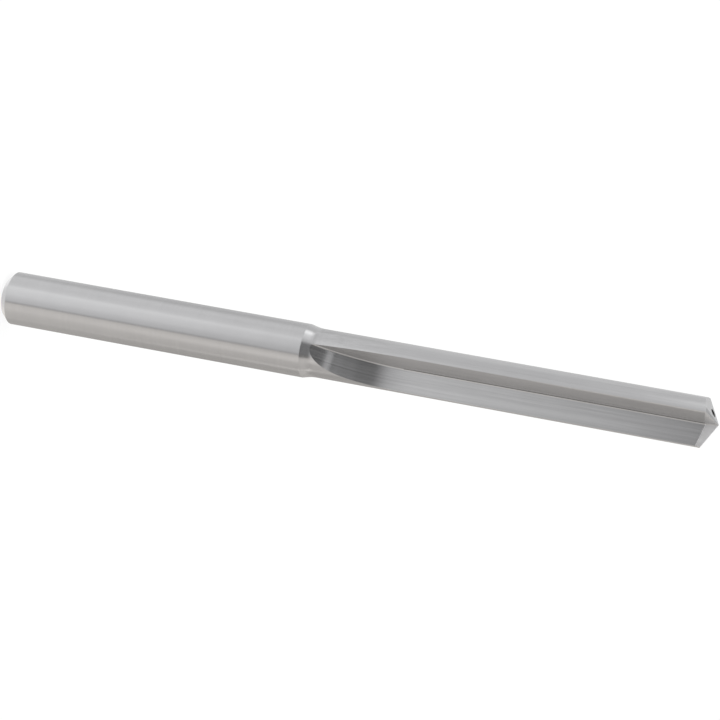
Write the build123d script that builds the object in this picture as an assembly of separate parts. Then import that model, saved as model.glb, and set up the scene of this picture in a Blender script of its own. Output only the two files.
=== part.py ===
from build123d import *
from math import acos, cos, degrees, radians, sin, tan
import os

# A solid carbide drill with two straight flutes and coolant ducts through its whole length.
# It stands on its shank end. The origin is the centre of that end face, and +Z runs along
# the tool to the point. Flute 1 opens between -Y and +X, and its cutting lip points along -Y.
# Flute 2 is the same cut half a turn round. Sizes are in millimetres, angles in degrees.

# The round blank
overall_length = 82.0
shank_diameter = 6.0
shank_length = 36.0
shank_chamfer = 0.8
cutting_diameter = 5.45
neck_half_angle = 14.0

# The section that the flute wheel leaves. Its valley is where the two walls would meet.
valley_ahead = 0.32
valley_off_lip = 0.40
rake_wall_lean = 7.2
heel_wall_lean = 16.1
valley_radius = 0.25

# The flute's length at full depth, and the wheel that lifts out of it towards the shank
flute_length = 34.7
wheel_radius = 24.0

# The point: two reliefs behind each lip, which meet on a line that sweeps back from the lip
point_angle = 130.0
primary_relief = 10.0
secondary_relief = 25.0
relief_line_sweep = 12.0

# The gash that thins the web: its root climbs from the valley to just beside the axis
gash_length = 1.35
gash_heel_lean = 20.3
gash_radius = 0.1
chisel_half_width = 0.1

# The coolant ducts, placed by their angle behind the lip
duct_diameter = 0.8
duct_circle_diameter = 2.4
duct_behind_lip = 50.0

# How far a cutter reaches past the blank
reach = 1.2 * shank_diameter

shank_radius = shank_diameter / 2
cutting_radius = cutting_diameter / 2
full_depth_height = overall_length - flute_length
valley = Vector(valley_ahead, -valley_off_lip)


def blank():
    """The ground round blank: chamfered shank, short neck cone and body, as one turned profile."""
    neck_length = (shank_radius - cutting_radius) / tan(radians(neck_half_angle))
    profile = Polyline(
        (0, 0),
        (shank_radius - shank_chamfer, 0),
        (shank_radius, shank_chamfer),
        (shank_radius, shank_length),
        (cutting_radius, shank_length + neck_length),
        (cutting_radius, overall_length),
        (0, overall_length),
        close=True,
    )
    return revolve(Plane.XZ * make_face(profile), Axis.Z)


def wheel_section(rake_lean, heel_lean, root_radius):
    """The V of a grinding wheel with its root at the origin, open towards -Y and +X."""
    rake_side = reach * Vector(-sin(radians(rake_lean)), -cos(radians(rake_lean)))
    heel_side = reach * Vector(cos(radians(heel_lean)), sin(radians(heel_lean)))
    outline = Polyline((0, 0), rake_side, rake_side + heel_side, heel_side, close=True)
    root = make_face(outline).vertices().sort_by_distance((0, 0, 0))[0]
    return fillet(root, root_radius)


def flute():
    """One flute: a straight groove to the point, and the arc in which the wheel lifts out."""
    section = Pos(valley.X, valley.Y, full_depth_height) * wheel_section(
        rake_wall_lean, heel_wall_lean, valley_radius
    )
    groove = extrude(section, amount=flute_length + reach, dir=(0, 0, 1))
    wheel_axis = Axis((0, valley.Y - wheel_radius, full_depth_height), (-1, 0, 0))
    lift_out_angle = degrees(acos(1 - shank_radius / wheel_radius))
    run_out = revolve(section, wheel_axis, lift_out_angle)
    return [groove, run_out]


def above(slope_x, slope_y):
    """All that lies above a plane through the point's tip, which rises with these slopes."""
    facet = Plane(origin=(0, 0, overall_length), z_dir=(-slope_x, -slope_y, 1))
    side = 2 * reach
    return facet * Box(side, side, side, align=(Align.CENTER, Align.CENTER, Align.MIN))


def reliefs():
    """The two flank facets behind lip 1. Both have one height along the line between them."""
    lip_slope = tan(radians(90 - point_angle / 2))
    primary = tan(radians(primary_relief))
    secondary = tan(radians(secondary_relief))
    back_slope = lip_slope - (secondary - primary) * tan(radians(relief_line_sweep))
    return [above(primary, lip_slope), above(secondary, back_slope)]


def gash():
    """The web thinning of flute 1: the wheel's V, carried along its sloping root."""
    beside_axis = valley * (chisel_half_width / valley.length)
    climb = Vector(beside_axis.X - valley.X, beside_axis.Y - valley.Y, gash_length)
    start = Vector(valley.X, valley.Y, overall_length - gash_length) - climb
    section = wheel_section(rake_wall_lean, gash_heel_lean, gash_radius)
    return extrude(Pos(*start) * section, amount=4 * climb.length, dir=climb)


def duct():
    """The coolant duct in the land behind lip 1, straight from the shank end to the flank."""
    behind = radians(270 - duct_behind_lip)
    circle_radius = duct_circle_diameter / 2
    place = Pos(circle_radius * cos(behind), circle_radius * sin(behind), -reach)
    bottom = (Align.CENTER, Align.CENTER, Align.MIN)
    return place * Cylinder(duct_diameter / 2, overall_length + 2 * reach, align=bottom)


def drill():
    """The blank, with each cut made for flute 1 and again half a turn round for flute 2."""
    tool = blank()
    for cut in [*flute(), *reliefs(), gash(), duct()]:
        tool = tool - cut - Rot(0, 0, 180) * cut
    return tool


os.makedirs("parts", exist_ok=True)
export_step(drill(), "parts/drill_body.step")
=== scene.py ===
# %% [markdown]
# # A straight-flute carbide drill, ground cut by cut
#
# The real tool starts as one round rod of carbide. Wheels grind a chamfer and a neck on it, then
# two straight V flutes, then the facets of the point. This lesson goes the same way round: it
# turns a fine blank, carries a wheel's V along each flute, and cuts with exact booleans. The
# imported model only gives the frame, so the first step loads it.

# %% Load the imported model
import bmesh
import bpy
import numpy as np
from mathutils import Matrix, Vector


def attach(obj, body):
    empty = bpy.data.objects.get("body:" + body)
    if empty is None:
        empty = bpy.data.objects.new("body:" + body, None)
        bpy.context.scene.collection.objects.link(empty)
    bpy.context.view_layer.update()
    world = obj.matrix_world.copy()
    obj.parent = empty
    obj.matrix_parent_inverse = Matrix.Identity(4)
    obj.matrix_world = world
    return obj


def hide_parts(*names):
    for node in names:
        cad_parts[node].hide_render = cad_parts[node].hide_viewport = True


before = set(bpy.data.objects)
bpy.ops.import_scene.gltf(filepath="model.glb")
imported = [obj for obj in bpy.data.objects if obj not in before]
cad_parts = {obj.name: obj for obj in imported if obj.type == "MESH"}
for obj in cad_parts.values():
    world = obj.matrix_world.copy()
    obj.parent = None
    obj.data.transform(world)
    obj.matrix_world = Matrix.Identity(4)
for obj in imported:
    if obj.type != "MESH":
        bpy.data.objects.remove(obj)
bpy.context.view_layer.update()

# %% [markdown]
# ## The drill's own numbers
#
# A tool drawing gives these in millimetres and degrees, and so does this lesson. The drill's
# mesh is scaled to metres when all cuts are made, because Blender's unit here is the metre. The
# drill stands on its shank end with +Z along the axis. Lip 1 points along -Y, and flute 1 opens
# between -Y and +X.
#
# VALLEY is the corner of flute 1's V, seen along the axis, before it is rounded. From it the
# rake wall runs outwards along -Y, leaning 7.2 degrees towards -X. The heel wall runs along +X
# and leans 16.1 degrees towards +Y, or 20.3 in the gash at the point. FULL_DEPTH is the height
# at which the wheel lifts out.

# %% Sizes in millimetres and degrees
OVERALL = 82.0
SHANK_RADIUS = 3.0
SHANK_LENGTH = 36.0
CHAMFER = 0.8
CUTTING_RADIUS = 2.725
NECK_ANGLE = 14.0
VALLEY = np.array([0.32, -0.40])
RAKE_LEAN, HEEL_LEAN, GASH_HEEL_LEAN = 7.2, 16.1, 20.3
FULL_DEPTH = 47.3
WHEEL_RADIUS = 24.0


def turn(degrees):
    """The direction in the XY plane at an angle from +X: cosine and sine, a column per angle."""
    return np.array([np.cos(np.radians(degrees)), np.sin(np.radians(degrees))])


# %% [markdown]
# ## From a grid of points to a mesh
#
# Every surface here is worked out as a whole array of points, row by row. One helper joins the
# rows with quads, which numpy numbers without a loop, and closes both ends with one face each. A
# sheet without ends would be less work, but the booleans need closed bodies.

# %% A closed mesh from rows of points
def closed_mesh(name, rows, materials, bands=None):
    """Rows of points, shape (rows, around, 3) in mm, each a closed ring. Ring i joins ring i + 1.

    The ends get one face each. Bands give the material number of each strip between two rings,
    and the last two numbers are those of the first and the last end.
    """
    count, around = rows.shape[:2]
    here = np.arange((count - 1) * around).reshape(count - 1, around)
    beside = np.roll(here, -1, axis=1)
    quads = np.stack([here, beside, beside + around, here + around], axis=-1).reshape(-1, 4)
    ends = [list(range(around))[::-1], list(range((count - 1) * around, count * around))]
    mesh = bpy.data.meshes.new(name)
    mesh.from_pydata(rows.reshape(-1, 3).tolist(), [], quads.tolist() + ends)
    for material in materials:
        mesh.materials.append(material)
    if bands is not None:
        numbers = np.concatenate([np.repeat(bands[:-2], around), bands[-2:]])
        mesh.polygons.foreach_set("material_index", numbers.astype(np.int32))
    piece = bpy.data.objects.new(name, mesh)
    bpy.context.scene.collection.objects.link(piece)
    return piece


# %% [markdown]
# ## Ground carbide, and how light meets it
#
# Grinding leaves fine parallel lines. They scatter light across themselves much more than along
# themselves, so each finish here has a direction: round the shank, along the flutes, across the
# point. An image of lines would show its pixels in a close view, so noise is stretched into
# lines. One recipe makes every finish: the noise gives a faint change of tone, gloss and height,
# the highlight is drawn out across the lines, and a painted highlight brightens the colour at
# edges. The rod itself is one grey, apart from a painted light grey and a painted shade grey
# further down.

# %% Small helpers for shader nodes
def node(tree, kind, sockets=None, **settings):
    """One shader node. Sockets take a value, or another node's output, which is then linked."""
    made = tree.nodes.new("ShaderNode" + kind)
    for name, value in settings.items():
        setattr(made, name, value)
    for name, value in (sockets or {}).items():
        socket = made.inputs[name]
        if isinstance(value, bpy.types.NodeSocket):
            tree.links.new(value, socket)
        else:
            socket.default_value = value
    return made


def math(tree, operation, first, second=0.0):
    """One sum on two numbers or outputs, and its result."""
    return node(tree, "Math", {0: first, 1: second}, operation=operation).outputs[0]


def from_noise(tree, noise, low, high):
    """Noise lies mostly between 0.3 and 0.7. This carries that range evenly onto low to high."""
    return node(tree, "MapRange", {0: noise, 1: 0.3, 2: 0.7, 3: low, 4: high}).outputs[0]


def new_material(name):
    """An empty material and its node tree."""
    material = bpy.data.materials.new(name)
    material.use_nodes = True
    material.node_tree.nodes.clear()
    return material, material.node_tree


# %% The three ways in which the lines can run
# Each triple says how often the pattern changes in a metre along x, y and z: a fine line has
# thousands of changes across it and few along it.
ROUND_PATTERN = (260.0, 260.0, 16000.0)
ALONG_PATTERN = (9000.0, 9000.0, 90.0)
SLANTED_PATTERN = (9000.0, 9000.0, 300.0)


def lines_round(tree):
    """Lines round the axis: a pattern that changes fast with height and slowly with place."""
    place = node(tree, "TexCoord").outputs["Object"]
    return place, ROUND_PATTERN, node(tree, "CombineXYZ", {2: 1.0}).outputs[0]


def lines_along(tree, half_turn=False):
    """Lines along the wheel's path: straight on the body, and then round the wheel's own axis.

    The distance from that axis, sqrt(below^2 + off^2), takes the place of y. Below is how far
    the place lies under FULL_DEPTH, or nothing above it, and off how far it lies from the axis
    in y.
    """
    place = node(tree, "TexCoord").outputs["Object"]
    turned = node(tree, "Mapping", {"Vector": place, "Rotation": (0, 0, np.pi * half_turn)})
    parts = node(tree, "SeparateXYZ", {0: turned.outputs[0]}).outputs
    below = math(tree, "MINIMUM", math(tree, "SUBTRACT", parts[2], FULL_DEPTH / 1000))
    off = math(tree, "SUBTRACT", parts[1], (VALLEY[1] - WHEEL_RADIUS) / 1000)
    below_squared, off_squared = (math(tree, "MULTIPLY", part, part) for part in (below, off))
    from_wheel = math(tree, "SQRT", math(tree, "ADD", below_squared, off_squared))
    path = node(tree, "CombineXYZ", {0: parts[0], 1: from_wheel, 2: parts[2]}).outputs[0]
    facing = node(tree, "NewGeometry").outputs["Normal"]
    across = node(tree, "VectorMath", {0: facing, 1: (0, 0, 1)}, operation="CROSS_PRODUCT")
    return path, ALONG_PATTERN, across.outputs[0]


def lines_slanted(tree, angles):
    """Straight lines on a facet, turned from the axis by three angles in degrees."""
    place = node(tree, "TexCoord").outputs["Object"]
    turned = node(tree, "Mapping", {"Vector": place, "Rotation": tuple(np.radians(angles))})
    facing = node(tree, "NewGeometry").outputs["Normal"]
    across = node(tree, "VectorMath", {0: facing, 1: (0, 0, 1)}, operation="CROSS_PRODUCT")
    return turned.outputs[0], SLANTED_PATTERN, across.outputs[0]


# %% One recipe for every ground finish
# The wide lines have this share of the fine lines' number.
WIDER = 0.22
# How far, in metres, the Bevel nodes look round an edge, for its painted highlight and for its
# rounding.
SHINE_REACH, RELIEF_REACH = 0.00004, 0.00003
# The cosine between the two normals at which an edge has its full painted highlight.
EDGE_TURN = 0.93


def ground_finish(name, run, tone, roughness, streak, stretch=0.6, depth=1.0, edge_painted_highlight=1.25):
    """Bare carbide with grinding lines.

    Run builds the pattern's place, its scale and the tangent. Streak is the share by which lines
    change the tone, stretch how far they draw out a highlight, and depth their height in
    micrometres. Edge painted highlight is how many times brighter the colour is painted right at
    an edge.
    """
    material, tree = new_material(name)
    place, scale, tangent = run(tree)
    # Fine lines and lines about five times as wide are mixed half and half.
    fine_place = node(tree, "Mapping", {"Vector": place, "Scale": scale}).outputs[0]
    fine = node(tree, "TexNoise",
                {"Vector": fine_place, "Scale": 1.0, "Detail": 4.0, "Roughness": 0.62})
    wide_scale = tuple(s * WIDER for s in scale)
    wide_place = node(tree, "Mapping", {"Vector": place, "Scale": wide_scale}).outputs[0]
    wide = node(tree, "TexNoise", {"Vector": wide_place, "Scale": 1.0, "Detail": 2.0})
    both = node(tree, "Mix", {0: 0.5, 2: fine.outputs[0], 3: wide.outputs[0]}).outputs[0]
    cloud_place = node(tree, "TexCoord").outputs["Object"]
    cloud = node(tree, "TexNoise", {"Vector": cloud_place, "Scale": 420.0, "Detail": 3.0})
    # The lines and a faint cloud shift the grey a little either way, and the lines also shift
    # the roughness by about an eighth.
    shade = from_noise(tree, both, 1 - streak, 1 + streak)
    soft = from_noise(tree, cloud.outputs[0], 0.985, 1.015)
    # The Bevel node averages the normals nearby. Where that average turns away from the face's
    # own normal there is an edge, and a painted highlight makes the colour a touch brighter
    # there.
    nearby = node(tree, "Bevel", {"Radius": SHINE_REACH}, samples=6).outputs[0]
    facing = node(tree, "NewGeometry").outputs["Normal"]
    agree = node(tree, "VectorMath", {0: nearby, 1: facing}, operation="DOT_PRODUCT")
    edge = node(tree, "MapRange", {
        0: agree.outputs["Value"], 1: 1.0, 2: EDGE_TURN, 3: 1.0, 4: edge_painted_highlight,
    }).outputs[0]
    level = math(tree, "MULTIPLY", math(tree, "MULTIPLY", shade, soft), edge)
    colour = node(tree, "VectorMath", {0: tone, "Scale": level}, operation="SCALE").outputs[0]
    rough = from_noise(tree, both, roughness * 0.88, roughness * 1.14)
    bump = node(tree, "Bump", {"Height": both, "Strength": 1.0, "Distance": depth * 1e-6})
    relief = node(tree, "Bevel", {"Radius": RELIEF_REACH, "Normal": bump.outputs[0]}, samples=6)
    shader = node(tree, "BsdfPrincipled", {
        "Base Color": colour, "Metallic": 1.0, "Roughness": rough,
        "Normal": relief.outputs[0], "Tangent": tangent, "Anisotropic": stretch,
    })
    tree.links.new(shader.outputs[0], node(tree, "OutputMaterial").inputs[0])
    return material


# %% The finishes, surface by surface
CARBIDE = (0.545, 0.545, 0.552)
# Painted light: a grey far paler than carbide, for the gash's wider wall.
PAINTED_LIGHT_GREY = (0.93, 0.93, 0.945)
# Painted shade: a dark grey for the line in the crease beside the flute's root.
PAINTED_SHADE_GREY = (0.33, 0.33, 0.335)
SINTERED = (0.16, 0.158, 0.155)


def slanted(*angles):
    """The builder of a slanted pattern with these three angles."""
    return lambda tree: lines_slanted(tree, angles)


shank_finish = ground_finish("shank_ground", lines_round, CARBIDE, 0.23, 0.03,
                             stretch=0.8, depth=0.5)
neck_finish = ground_finish("neck_ground", lines_round, CARBIDE, 0.24, 0.05, stretch=0.5)
land_finish = ground_finish("land_ground", lines_along, CARBIDE, 0.22, 0.09,
                            stretch=0.4, edge_painted_highlight=1.05)
end_finish = ground_finish("end_ground", slanted(0, 90, 0), CARBIDE, 0.34, 0.06, stretch=0.3)
flute_finish = [
    ground_finish("flute_1_ground", lines_along, CARBIDE, 0.185, 0.17, stretch=1.0, depth=1.2),
    ground_finish("flute_2_ground", lambda tree: lines_along(tree, half_turn=True),
                  CARBIDE, 0.185, 0.17, stretch=1.0, depth=1.2),
]
gash_finish = ground_finish("gash_ground", slanted(0, 0, 0), CARBIDE, 0.28, 0.04, stretch=0.3)
primary_finish = ground_finish("primary_relief_ground", slanted(90, 0, 0), CARBIDE, 0.28, 0.04,
                               stretch=0.3)
# The gash wall's rougher finish is its own, its pale colour is painted light.
painted_light_gash_wall_finish = ground_finish("gash_wall_painted_light", slanted(0, 0, 0), PAINTED_LIGHT_GREY, 0.66, 0.04,
                                 stretch=0.0)
# The dark grey of the line beside the root is painted shade.
painted_root_shade_finish = ground_finish("root_painted_shade", lines_along, PAINTED_SHADE_GREY, 0.3, 0.10, stretch=0.8)
secondary_finish = ground_finish("secondary_relief_ground", slanted(90, 0, 20), CARBIDE,
                                 0.28, 0.04, stretch=0.3)
duct_finish = ground_finish("duct_sintered", lines_round, SINTERED, 0.5, 0.1,
                            stretch=0.0, depth=3.0, edge_painted_highlight=1.0)
print("materials in the file:", len(bpy.data.materials))

# %% [markdown]
# ## The turned blank
#
# The rod is ground while it turns, so it could be an outline that a Screw modifier spins. Worked
# out as rings, it also takes a finish for each strip. The outline is a list of radius and
# height. Its corners are rounded from 0.05 mm before to 0.05 mm after them, because even a
# ground corner is not infinitely sharp. Between neck and body it is 0.5 mm, the blend that a
# wheel's rim leaves. Each point of the outline becomes a ring of 256 points. The rod is left
# long, and the point's own facets cut it to length later.

# %% The outline and its rounded corners
EDGE_ROUND, NECK_BLEND = 0.05, 0.5
# A thousandth of a millimetre stands for nothing, and SPARE is what the facets will cut off.
TINY = 0.001
SPARE = 2.0


def rounded(outline, setback, steps=6):
    """The outline with each inner corner swapped for a short curve.

    The curve starts and stops at the setback from its corner. At share t of the way it stands at
    (1 - t)^2 start + 2 t (1 - t) corner + t^2 stop.
    """
    before, corner, after = outline[:-2], outline[1:-1], outline[2:]
    inward = (before - corner) / np.linalg.norm(before - corner, axis=1)[:, None]
    onward = (after - corner) / np.linalg.norm(after - corner, axis=1)[:, None]
    t = np.linspace(0, 1, steps + 1)[None, :, None]
    start = (corner + setback[:, None] * inward)[:, None]
    stop = (corner + setback[:, None] * onward)[:, None]
    curves = (1 - t) ** 2 * start + 2 * t * (1 - t) * corner[:, None] + t ** 2 * stop
    return np.concatenate([outline[:1], curves.reshape(-1, 2), outline[-1:]])


neck = (SHANK_RADIUS - CUTTING_RADIUS) / np.tan(np.radians(NECK_ANGLE))
corners = np.array([
    [TINY, 0.0],
    [SHANK_RADIUS - CHAMFER, 0.0],
    [SHANK_RADIUS, CHAMFER],
    [SHANK_RADIUS, SHANK_LENGTH],
    [CUTTING_RADIUS, SHANK_LENGTH + neck],
    [CUTTING_RADIUS, OVERALL + SPARE],
])
outline = rounded(corners, np.array([EDGE_ROUND, EDGE_ROUND, EDGE_ROUND, NECK_BLEND]))
print("neck length in mm:", round(neck, 3), "outline points:", len(outline))

# %% The rings
AROUND = 256
around = 2 * np.pi * np.arange(AROUND) / AROUND
ring = np.stack([np.cos(around), np.sin(around)], axis=-1)
rings = np.concatenate([
    outline[:, None, :1] * ring[None],
    np.broadcast_to(outline[:, None, 1:], (len(outline), AROUND, 1)),
], axis=-1)
print("rings:", rings.shape)

# %% A finish for each strip between two rings
SHANK, NECK, LAND, END = range(4)
MARGIN = 0.03
middle = (outline[1:, 1] + outline[:-1, 1]) / 2
inner = (outline[1:, 0] + outline[:-1, 0]) / 2
on_end = (middle < TINY) & (inner < SHANK_RADIUS - CHAMFER)
on_chamfer = middle < CHAMFER + MARGIN
on_land = middle > SHANK_LENGTH + neck + MARGIN
on_neck = middle > SHANK_LENGTH - MARGIN
# The first condition that holds decides. The chamfer is ground like the neck.
band = np.select([on_end, on_chamfer, on_land, on_neck], [END, NECK, LAND, NECK], SHANK)
drill = closed_mesh("drill", rings, (shank_finish, neck_finish, land_finish, end_finish),
                    np.append(band, [END, LAND]))
print("blank:", len(drill.data.polygons), "faces, strips by finish:", np.bincount(band))

# %% [markdown]
# ## The wheel's V
#
# A dressed grinding wheel has a V rim that is a little rounded at its tip. The groove could be
# modelled straight on the rod, but its edges are where two surfaces meet, so it is truer to
# model the wheel and let it cut. Its outline is two straight walls and an arc, closed far
# outside the rod. The same V cuts the flute, and with another lean and a smaller arc it cuts the
# gash that thins the web at the point.

# %% The section of the wheel
VALLEY_RADIUS, GASH_RADIUS = 0.25, 0.22
# The walls are drawn from just past the arc to well outside the rod.
PAST_ARC, REACH = 0.05, 7.2


def wheel_section(rake_lean, heel_lean, root_radius, steps=14):
    """Points of the V, with the corner of its two walls at the origin.

    The arc touches each wall at root_radius over the tangent of half the angle between them. Its
    centre lies on their bisector, at root_radius over the sine of that half. The points run
    anticlockwise, so that the carried surface faces outwards.
    """
    rake, heel = -turn(90 - rake_lean), turn(heel_lean)
    half = np.arccos(rake @ heel) / 2
    centre = root_radius / np.sin(half) * (rake + heel) / np.linalg.norm(rake + heel)
    touch = root_radius / np.tan(half)
    spread = np.linspace(-1, 1, steps + 1) * (np.pi / 2 - half)
    back, side = -centre / np.linalg.norm(centre), (heel - rake) / np.linalg.norm(heel - rake)
    arc = centre + root_radius * (np.cos(spread)[:, None] * back + np.sin(spread)[:, None] * side)
    walls_in = np.array([REACH, touch + PAST_ARC])[:, None] * rake
    walls_out = np.array([touch + PAST_ARC, REACH])[:, None] * heel
    return np.concatenate([walls_in, arc, walls_out, [REACH * (rake + heel)]])[::-1]


flute_section = VALLEY + wheel_section(RAKE_LEAN, HEEL_LEAN, VALLEY_RADIUS)
print("flute section:", len(flute_section), "points")

# %% [markdown]
# ## The flute and its run-out
#
# The wheel travels straight along the body and then lifts out of the rod, so the flute ends in
# an arc of the wheel's own radius. The lift starts gently, so the curve tightens over the first
# 6.6 mm. The wheel could be a real disc, but then its facets would show in the groove. Instead
# its section is carried along the path as rows of points. The second flute is the same rows
# after half a turn.

# %% Carry the section along the wheel's path
def half_turned(rows):
    """The same points half a turn round the axis: x and y change sign."""
    return rows * np.array([-1.0, -1.0, 1.0])


def flute_rows(section, steps=120, ease=6.6):
    """A straight part at full depth, then rings along the wheel's path out of the rod.

    After s mm of path the curvature is s / (ease R), and 1 / R from s = ease on, R being the
    wheel's radius. Its running sum is the angle a. The root goes y = -sum sin a and
    z = -sum cos a, and a point d off the root in the section stands at y + d cos a and
    z - d sin a.
    """
    # The arc that lifts the root by a shank radius, what the ease adds, and a millimetre more.
    stretch = WHEEL_RADIUS * np.arccos(1 - SHANK_RADIUS / WHEEL_RADIUS) + ease / 2 + 1.0
    s, step = np.linspace(0, stretch, steps + 1, retstep=True)
    middle = s[1:] - step / 2
    bend = np.cumsum(np.clip(middle / ease, 0, 1)) * step / WHEEL_RADIUS
    angle = np.append(0, bend)
    between = (angle[1:] + angle[:-1]) / 2
    root_y = -np.append(0, np.cumsum(np.sin(between)) * step)
    root_z = FULL_DEPTH + ease / 2 - np.append(0, np.cumsum(np.cos(between)) * step)
    x = np.broadcast_to(section[:, 0], (steps + 1, len(section)))
    d = section[:, 1] - VALLEY[1]
    cos, sin = np.cos(angle)[:, None], np.sin(angle)[:, None]
    y = VALLEY[1] + root_y[:, None] + d * cos
    z = root_z[:, None] - d * sin
    top = np.column_stack([section, np.full(len(section), OVERALL + 2 * SPARE)])
    return np.concatenate([np.stack([x, y, z], axis=-1)[::-1], top[None]])


flute_cut = flute_rows(flute_section)
print("flute cutter:", flute_cut.shape)

# %% [markdown]
# ## The point: four facets and a gash
#
# Each lip has two reliefs, a shallow one next to the edge and a steeper one behind, so that only
# the edge touches the work. Moving vertices to make such facets would be guesswork. All four
# planes go through the tip, so each cutter is a block whose lowest face is such a plane, and
# every edge of the point falls out of the cuts. The gash is the V again, carried straight along
# a root that climbs from the flute's valley to just beside the axis. What it leaves between the
# two is the chisel edge.

# %% Blocks above the relief planes
POINT_ANGLE = 130.0
RELIEFS = (10.0, 25.0)
SWEEP_BACK = 12.0
PRIMARY, SECONDARY, SWEEP, LIP = np.tan(np.radians([*RELIEFS, SWEEP_BACK, 90 - POINT_ANGLE / 2]))


def block_above(slope_x, slope_y, half=9.0, height=9.0):
    """A block over a sloping plane: z is the tip's height plus slope_x x plus slope_y y.

    The block is twice half wide in x and in y. The two reliefs of a lip meet where their planes
    have the same z, which is the line x = sweep y.
    """
    base = half * np.array([[-1, -1], [1, -1], [1, 1], [-1, 1]], dtype=float)
    low = OVERALL + base @ np.array([slope_x, slope_y])
    return np.stack([np.column_stack([base, low]), np.column_stack([base, low + height])])


primary_cut = block_above(PRIMARY, LIP)
secondary_cut = block_above(SECONDARY, LIP - (SECONDARY - PRIMARY) * SWEEP)


# %% The gash
# It starts this far under the tip, and the chisel edge ends this far from the axis.
GASH_LENGTH = 1.35
CHISEL_HALF = 0.1


def straight_rows(section, start, stop):
    """A flat section carried from one place to another, as two rings."""
    flat = np.column_stack([section, np.zeros(len(section))])
    return np.stack([flat + start, flat + stop])


climb = np.append(VALLEY * (CHISEL_HALF / np.linalg.norm(VALLEY)) - VALLEY, GASH_LENGTH)
root = np.append(VALLEY, OVERALL - GASH_LENGTH)
gash_section = wheel_section(RAKE_LEAN, GASH_HEEL_LEAN, GASH_RADIUS)
gash_cut = straight_rows(gash_section, root - climb, root + 3 * climb)
print("gash climbs", round(float(climb[2]), 2), "mm while it nears the axis")

# %% The coolant duct
# Radius, distance from the axis, and angle behind the lip, which points at 270 degrees.
DUCT_RADIUS, DUCT_OUT, DUCT_BEHIND = 0.4, 1.2, 50.0
duct_round = DUCT_RADIUS * turn(np.arange(48) * 360 / 48).T
duct_place = np.append(DUCT_OUT * turn(270 - DUCT_BEHIND), 0)
duct_cut = straight_rows(duct_round, duct_place + [0, 0, -3], duct_place + [0, 0, OVERALL + 5])
print("duct centre in mm:", np.round(duct_place[:2], 3))

# %% [markdown]
# ## The eased lip
#
# The outer edge of each rake wall is eased by a fine stone: a flat that leans ten degrees off
# the wall. It starts from nothing in the middle of the body and is about 0.2 mm wide at the
# point. A bevel would be equally wide all along, so it is one more cut. Its cutter is a long
# three-sided wedge, whose tip line moves inwards along the rake wall.

# %% The wedge that eases the lip
# Widths of the flat at three heights. Below zero the wedge still stays outside the rod.
EASED_HEIGHTS = np.array([57.5, 63.0, OVERALL + SPARE])
EASED_WIDTHS = np.array([-0.02, 0.13, 0.22])
# The way the rake wall runs outwards, and, in degrees from +X, the directions of the flat and
# of the wedge's other side, which lies out in the flute.
rake = -turn(90 - RAKE_LEAN)
FLAT_TOWARDS, OPEN_TOWARDS = -107, -67


def eased_lip(heights, widths):
    """Three points per height: the inner line of the flat, and two points out in the open.

    The wall leaves the rod where |valley + t rake| is the cutting radius, so that
    t = sqrt((valley . rake)^2 - |valley|^2 + radius^2) - valley . rake.
    """
    along = VALLEY @ rake
    edge = np.sqrt(along ** 2 - VALLEY @ VALLEY + CUTTING_RADIUS ** 2) - along
    inner_line = VALLEY + (edge - widths)[:, None] * rake
    spread = np.stack([[0.0, 0.0], turn(FLAT_TOWARDS), turn(OPEN_TOWARDS)])
    points = inner_line[:, None] + spread[None]
    up = np.broadcast_to(heights[:, None, None], (len(heights), 3, 1))
    return np.concatenate([points, up], axis=-1)


lip_cut = eased_lip(EASED_HEIGHTS, EASED_WIDTHS)
print("eased lip:", lip_cut.shape)

# %% [markdown]
# ## Grinding it
#
# Each cutter is taken from the blank with a boolean, first as it is and then half a turn round.
# The fast solver can fail where cutters share a plane, so this is the exact one. The cut faces
# keep the cutter's material, so each surface gets the finish of the wheel that made it.

# %% Cut the blank
def cut(rows, finishes, name):
    """Takes the cutter and its half-turned copy from the drill.

    The first finish goes to the cutter and the last to the copy, so one finish serves both.
    """
    for place, finish in ((rows, finishes[0]), (half_turned(rows), finishes[-1])):
        cutter = closed_mesh(name, place, (finish,))
        step = drill.modifiers.new(name, "BOOLEAN")
        step.operation, step.solver, step.object = "DIFFERENCE", "EXACT", cutter
        step.material_mode = "TRANSFER"
        bpy.context.view_layer.objects.active = drill
        bpy.ops.object.modifier_apply(modifier=step.name)
        bpy.data.objects.remove(cutter)
    print(name, "cut:", len(drill.data.polygons), "faces,", len(drill.data.materials), "finishes")


cut(flute_cut, flute_finish, "flute")
cut(lip_cut, flute_finish, "eased_lip")
cut(duct_cut, (duct_finish,), "duct")
cut(gash_cut, (gash_finish,), "gash")
cut(secondary_cut, (secondary_finish,), "secondary_relief")
cut(primary_cut, (primary_finish,), "primary_relief")

# %% [markdown]
# ## Two finer differences
#
# The gash's wider wall comes from the flat of its wheel, so it is rougher; its pale colour is
# painted light. A narrow line beside the root of the straight flute gets a darker grey, which is
# painted shade. Neither is a form, so no cut is made: the faces are found by where they lie and
# how they face.

# %% Read the faces
faces = drill.data.polygons
finish_names = [material.name for material in drill.data.materials]
which = np.empty(len(faces), dtype=np.int32)
normals, centres = np.empty(3 * len(faces)), np.empty(3 * len(faces))
faces.foreach_get("material_index", which)
faces.foreach_get("normal", normals)
faces.foreach_get("center", centres)
normals, centres = normals.reshape(-1, 3), centres.reshape(-1, 3)
print("faces by finish:", dict(zip(finish_names, np.bincount(which).tolist())))

# %% The gash's wider wall
# It faces along Y: that share of its normal is large.
FACING_Y = 0.7
wider = (which == finish_names.index("gash_ground")) & (np.abs(normals[:, 1]) > FACING_Y)
# These faces get the painted light colour.
drill.data.materials.append(painted_light_gash_wall_finish)
which[wider] = len(finish_names)
print("gash wall faces:", int(wider.sum()))
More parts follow.
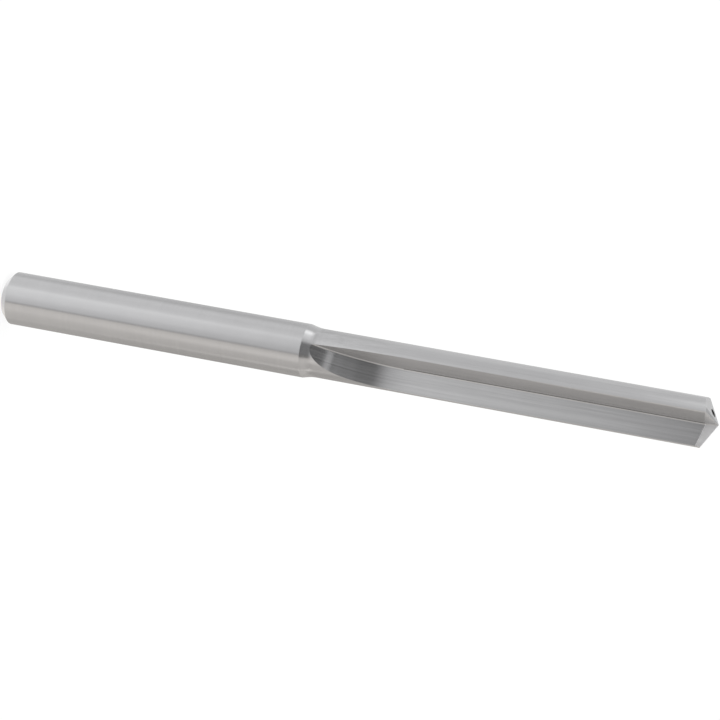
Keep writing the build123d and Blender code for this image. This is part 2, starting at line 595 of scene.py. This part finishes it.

# %% The painted shade beside the root
# Less than 0.2 mm from the corner of the V, and more than 0.07 mm out towards the rake wall.
SHADE_WITHIN, SHADE_BEYOND = 0.2, 0.07
second = which == finish_names.index("flute_2_ground")
flutes = second | (which == finish_names.index("flute_1_ground"))
from_root = np.where(second[:, None], -1, 1) * centres[:, :2] - VALLEY
near = (np.hypot(*from_root.T) < SHADE_WITHIN) & (from_root @ rake > SHADE_BEYOND)
# These faces in the crease at the root get the painted shade colour.
root_shade_mask = flutes & (centres[:, 2] > FULL_DEPTH) & near
drill.data.materials.append(painted_root_shade_finish)
which[root_shade_mask] = len(finish_names) + 1
faces.foreach_set("material_index", which)
print("faces beside the root:", int(root_shade_mask.sum()))

# %% [markdown]
# ## Metres, sharp edges and smooth rounds
#
# The finished mesh is scaled to metres, stray doubles are merged, and edges steeper than 10
# degrees stay sharp. Smooth shading alone would bend the light on a large flat that ends in
# small curves. Weighted normals make each large face keep its own direction, so that the walls
# look truly flat right up to the rounded root.

# %% Scale it and merge its doubles
MM = 0.001
DOUBLES = 1e-7
shape = bmesh.new()
shape.from_mesh(drill.data)
bmesh.ops.scale(shape, vec=(MM, MM, MM), verts=shape.verts)
bmesh.ops.remove_doubles(shape, verts=shape.verts, dist=DOUBLES)
bmesh.ops.recalc_face_normals(shape, faces=shape.faces)
print("open edges:", sum(not edge.is_manifold for edge in shape.edges))
shape.to_mesh(drill.data)
shape.free()

# %% Smooth rounds between sharp edges
SHARP = 10.0
drill.data.shade_smooth()
drill.data.set_sharp_from_angle(angle=np.radians(SHARP))
weighted = drill.modifiers.new("weighted", "WEIGHTED_NORMAL")
weighted.keep_sharp = True
bpy.ops.object.modifier_apply(modifier=weighted.name)
drill.data.calc_loop_triangles()
print("drill:", len(drill.data.vertices), "points,", len(drill.data.loop_triangles), "triangles")

# %% [markdown]
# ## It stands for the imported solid
#
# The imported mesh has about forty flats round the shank, which would show in a close view. This
# mesh has the same shape with far finer rounds, so it replaces that node. It rides on the one
# body that the drill has, since nothing on it moves.

# %% Attach it
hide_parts("drill_body")
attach(drill, "root")
print(drill.name, "has the finishes", [material.name for material in drill.data.materials])

# %% [markdown]
# ## The camera
#
# The photograph shows the tool from about three and a half tool lengths away. The camera stands
# higher than the tool and looks down, so that the point is nearer than the shank end, and it is
# rolled so that the standing tool lies almost level in the picture. These numbers come from a
# least squares fit to the outline and the main edges, because moving a camera by hand trades one
# error for another. A camera looks along its own -Z, so its three axes are worked out and made
# its matrix.

# %% Place the camera
# Turned from -Y towards +X, tipped down from level, and rolled about the line of sight.
BEARING, LOOK_DOWN, ROLL = np.radians([24.64, 15.297, 100.254])
# Metres from the tool's axis, and above the floor.
AWAY, ABOVE = 0.26973, 0.11585
outward = np.array([np.sin(BEARING), -np.cos(BEARING), 0])
up = np.array([0.0, 0.0, 1.0])
back = np.sin(LOOK_DOWN) * up + np.cos(LOOK_DOWN) * outward
level_up = np.cos(LOOK_DOWN) * up - np.sin(LOOK_DOWN) * outward
level_right = np.cross(level_up, back)
right = np.cos(ROLL) * level_right + np.sin(ROLL) * level_up
camera = bpy.data.objects.new("camera", bpy.data.cameras.new("camera"))
camera.data.lens, camera.data.sensor_width = 127.53, 36.0
camera.data.clip_start, camera.data.clip_end = 0.01, 100.0
camera.data.shift_x, camera.data.shift_y = 0.0006, 0.0004
turned = Matrix(np.column_stack([right, np.cross(back, right), back]).tolist()).to_4x4()
place = Matrix.Translation((AWAY * outward + ABOVE * up).tolist())
camera.matrix_world = place @ turned
bpy.context.scene.collection.objects.link(camera)
bpy.context.scene.camera = camera
print("camera at mm", np.round(np.array(camera.location) * 1000, 1))

# %% [markdown]
# ## A plain studio
#
# Metal shows what stands round it. The tool stood in a white room with one bright box to its
# upper left, a dark camera side, and a warm table below it in the picture. The panels are seen
# only in reflections, as flags and cards are in a studio. A few flat cards would do for a round
# shank, but each wall of the flute picks out one small part of the room. So here two panels
# close round the tool, and their light is graded.

# %% A panel that only reflections see
TOOL_MIDDLE = [0, 0, OVERALL * MM / 2]


def panel(name, bearing, height, glow, tint=(1, 1, 1), distance=0.7):
    """Part of a sphere round the tool, between two bearings and two heights in degrees.

    Its points are the distance, in metres, times (cos height cos bearing, cos height sin
    bearing, sin height), counted from the middle of the tool. Glow gives the brightness from
    arrays of bearing and height, carried as a point attribute.
    """
    across = np.linspace(*bearing, int(bearing[1] - bearing[0]) + 2)
    upward = np.linspace(*height, 2 * int(height[1] - height[0]) + 1)
    a, h = np.meshgrid(np.radians(across), np.radians(upward))
    grid = np.stack([np.cos(h) * np.cos(a), np.cos(h) * np.sin(a), np.sin(h)], axis=-1)
    grid = grid * distance + TOOL_MIDDLE
    rows, columns = a.shape
    here = np.arange(rows - 1)[:, None] * columns + np.arange(columns - 1)[None]
    quads = np.stack([here, here + 1, here + columns + 1, here + columns], axis=-1).reshape(-1, 4)
    mesh = bpy.data.meshes.new(name)
    mesh.from_pydata(grid.reshape(-1, 3).tolist(), [], quads.tolist())
    brightness = glow(*np.meshgrid(across, upward))
    mesh.attributes.new("glow", "FLOAT", "POINT").data.foreach_set("value", brightness.ravel())
    material, tree = new_material(name)
    strength = node(tree, "Attribute", attribute_name="glow").outputs["Fac"]
    shine = node(tree, "Emission", {"Color": (*tint, 1), "Strength": strength})
    tree.links.new(shine.outputs[0], node(tree, "OutputMaterial").inputs[0])
    mesh.materials.append(material)
    made = bpy.data.objects.new(name, mesh)
    bpy.context.scene.collection.objects.link(made)
    made.visible_camera = made.visible_diffuse = False
    made.visible_shadow = made.visible_transmission = False
    return made


# %% [markdown]
# ## The room, by bearing and height
#
# One picture wrapped round the tool would give the same light, but the few numbers below say
# more about what the metal sees. The room's light is six rings round the tool, one above the
# other: under, low, level, raised, high and top. Each is a list of bearings with the brightness
# there, and the light runs evenly from one to the next. Bearings are counted from +X, so 270 is
# -Y and the camera stands near 295. The panels begin and end behind the tool at 115 and 475,
# which are the same bearing.

# %% The room in six rings
def ring_of(*stops):
    """Straight lines between stops of bearing and brightness, as a function of bearings."""
    angles, levels = np.array(stops, dtype=float).T
    return lambda bearing: np.interp(bearing, angles, levels)


under = ring_of((115, 1.4), (150, 1.35), (200, 1.0), (390, 1.0), (440, 1.15), (475, 1.25))
low = ring_of((115, 0.66), (153, 0.64), (172, 0.60), (180, 0.66), (192, 0.91), (205, 0.94),
              (220, 0.93), (234, 0.97), (242, 1.12), (248, 1.33), (262, 1.30), (271, 1.27),
              (283, 1.18), (294, 0.98), (306, 0.82), (312, 0.76), (314, 0.36), (319, 0.36),
              (321, 0.86), (329, 0.88), (355, 0.84), (384, 0.70), (401, 0.60), (423, 0.52),
              (442, 0.44), (475, 0.46))
level = ring_of((115, 0.75), (153, 0.88), (170, 0.85), (188, 0.87), (205, 0.81), (220, 0.75),
                (234, 0.87), (250, 0.84), (275, 0.82), (300, 0.80), (325, 0.80), (337, 1.05),
                (346, 1.05), (356, 0.60), (382, 0.60), (386, 0.85), (394, 0.85), (399, 0.50),
                (423, 0.62), (475, 0.60))
raised = ring_of((115, 0.75), (153, 0.82), (170, 0.86), (188, 0.78), (205, 0.70), (220, 0.69),
                 (234, 0.81), (250, 0.68), (275, 0.62), (300, 0.70), (325, 0.76), (337, 0.95),
                 (346, 0.95), (356, 0.58), (382, 0.60), (386, 1.30), (394, 1.30), (399, 0.50),
                 (423, 0.62), (475, 0.60))
high = ring_of((115, 1.25), (140, 1.25), (158, 0.75), (181, 0.70), (194, 0.75), (200, 1.40),
               (204, 1.90), (212, 1.90), (222, 1.20), (235, 0.98), (258, 0.88), (263, 0.30),
               (266, 0.19), (325, 0.19), (331, 0.80), (345, 0.80), (385, 0.72), (398, 0.75),
               (404, 1.00), (415, 1.00), (475, 0.60))
top = ring_of((115, 0.6), (140, 0.6), (158, 0.7), (181, 0.8), (190, 1.3), (240, 1.3),
              (250, 0.14), (325, 0.14), (331, 0.8), (475, 0.6))
RINGS = (under, low, level, raised, high, top)
print("brightest light of each ring:", [float(ring(np.arange(115, 476)).max()) for ring in RINGS])

# %% Steps of light and dark on the camera's side
# The heights in degrees of the six rings, with one more stop, at -22, between the first two.
RING_HEIGHTS = (-45, -22, -20, -13, -7, 2, 40)
RING_PLACES = (0, 0.95, 1, 2, 3, 4, 5)
# The bearings between which the steps count, and pairs of a height in degrees and what is added
# there, in hundredths.
CAMERA_SIDE = (262, 325)
STEPS = np.array([
    (-17.5, 0), (-15, -12), (-14, -12), (-13.5, 0), (-6, 0), (-4, -8), (-1, -16), (2, 0),
    (7, 0), (9, 7), (14, 7), (16, 13), (18, 13), (18.5, -7), (19.2, -7), (19.7, 48),
    (22.2, 48), (22.7, 0),
])


def room(bearing, height):
    """The brightness at arrays of bearing and height.

    A height has a place among the rings, from 0 to 5. Each ring's share is 1 minus its distance
    from that place, and nothing beyond one ring. On the camera's side the steps are added.
    """
    rings = np.stack([ring(bearing) for ring in RINGS])
    place = np.interp(height, RING_HEIGHTS, RING_PLACES)
    share = np.clip(1 - np.abs(place - np.arange(len(RINGS))[:, None, None]), 0, 1)
    camera_side = (bearing > CAMERA_SIDE[0]) & (bearing < CAMERA_SIDE[1])
    steps = np.interp(height, *STEPS.T)
    return (share * rings).sum(axis=0) + camera_side * steps / 100


# %% Close the room
ROOM_HEIGHTS = (-60, 70)
walls = panel("cool_walls", (115, 318), ROOM_HEIGHTS, room)
table = panel("warm_table", (318, 475), ROOM_HEIGHTS, room, (1.0, 0.965, 0.92))
print("points of the room:", len(walls.data.vertices) + len(table.data.vertices))

# %% [markdown]
# ## Floor, white world and one lamp
#
# In the photograph nothing but white lies behind the tool. A floor that is only lit would come
# out grey, so to the camera it mostly glows, and it is lit for the rest, which lets a soft
# shadow show. The world could be plain white for everything, but then it would wash out that
# shadow. So it is dimmer where it lights surfaces than where it is seen. One large lamp overhead
# gives the shadow. The Standard view shows the light as it is, without a film's curve.

# %% The floor
FLOOR_HALF = 4.0
GLOW_SHARE = 0.8
floor_corners = FLOOR_HALF * np.array([[-1, -1, 0], [1, -1, 0], [1, 1, 0], [-1, 1, 0]])
floor_mesh = bpy.data.meshes.new("floor")
floor_mesh.from_pydata(floor_corners.tolist(), [], [(0, 1, 2, 3)])
floor = bpy.data.objects.new("floor", floor_mesh)
bpy.context.scene.collection.objects.link(floor)
floor.visible_glossy = False
paper, tree = new_material("pale_floor")
floor_mesh.materials.append(paper)
seen = node(tree, "LightPath").outputs["Is Camera Ray"]
matt = node(tree, "BsdfDiffuse", {"Color": (0.86, 0.86, 0.86, 1)})
white = node(tree, "Emission", {"Color": (1, 1, 1, 1), "Strength": 1.1})
share = math(tree, "MULTIPLY", seen, GLOW_SHARE)
floor_mix = node(tree, "MixShader", {0: share, 1: matt.outputs[0], 2: white.outputs[0]})
tree.links.new(floor_mix.outputs[0], node(tree, "OutputMaterial").inputs[0])
print("floor:", 2 * FLOOR_HALF, "m wide")

# %% The world
AMBIENT, SEEN = 0.6, 1.0
world = bpy.data.worlds.new("white_room")
bpy.context.scene.world = world
world.use_nodes = True
tree = world.node_tree
tree.nodes.clear()
path = node(tree, "LightPath").outputs
shown = math(tree, "MAXIMUM", path["Is Camera Ray"], path["Is Glossy Ray"])
shown = math(tree, "MAXIMUM", shown, path["Is Transmission Ray"])
ambient = node(tree, "Background", {"Color": (1, 1, 1, 1), "Strength": AMBIENT})
backdrop = node(tree, "Background", {"Color": (1, 1, 1, 1), "Strength": SEEN})
world_mix = node(tree, "MixShader", {0: shown, 1: ambient.outputs[0], 2: backdrop.outputs[0]})
tree.links.new(world_mix.outputs[0], node(tree, "OutputWorld").inputs[0])
print("world nodes:", len(tree.nodes))


# %% The lamp
def soft_lamp(name, bearing, height, distance, size, power):
    """A square lamp that looks at the middle of the tool.

    It stands from there by the distance times (cos height cos bearing, cos height sin bearing,
    sin height). Size is in metres and power in watts. Reflections don't see it.
    """
    lamp = bpy.data.lights.new(name, "AREA")
    lamp.size, lamp.energy = size, power
    made = bpy.data.objects.new(name, lamp)
    b, h = np.radians([bearing, height])
    away = np.array([np.cos(h) * np.cos(b), np.cos(h) * np.sin(b), np.sin(h)])
    made.location = (away * distance + TOOL_MIDDLE).tolist()
    made.rotation_mode = "QUATERNION"
    made.rotation_quaternion = Vector(away.tolist()).to_track_quat("Z", "Y")
    bpy.context.scene.collection.objects.link(made)
    made.visible_glossy = False
    return made


overhead = soft_lamp("overhead_lamp", bearing=205, height=78, distance=1.2, size=0.9, power=6.0)
bpy.context.scene.view_settings.view_transform = "Standard"
print("lamp at m", np.round(np.array(overhead.location), 2))
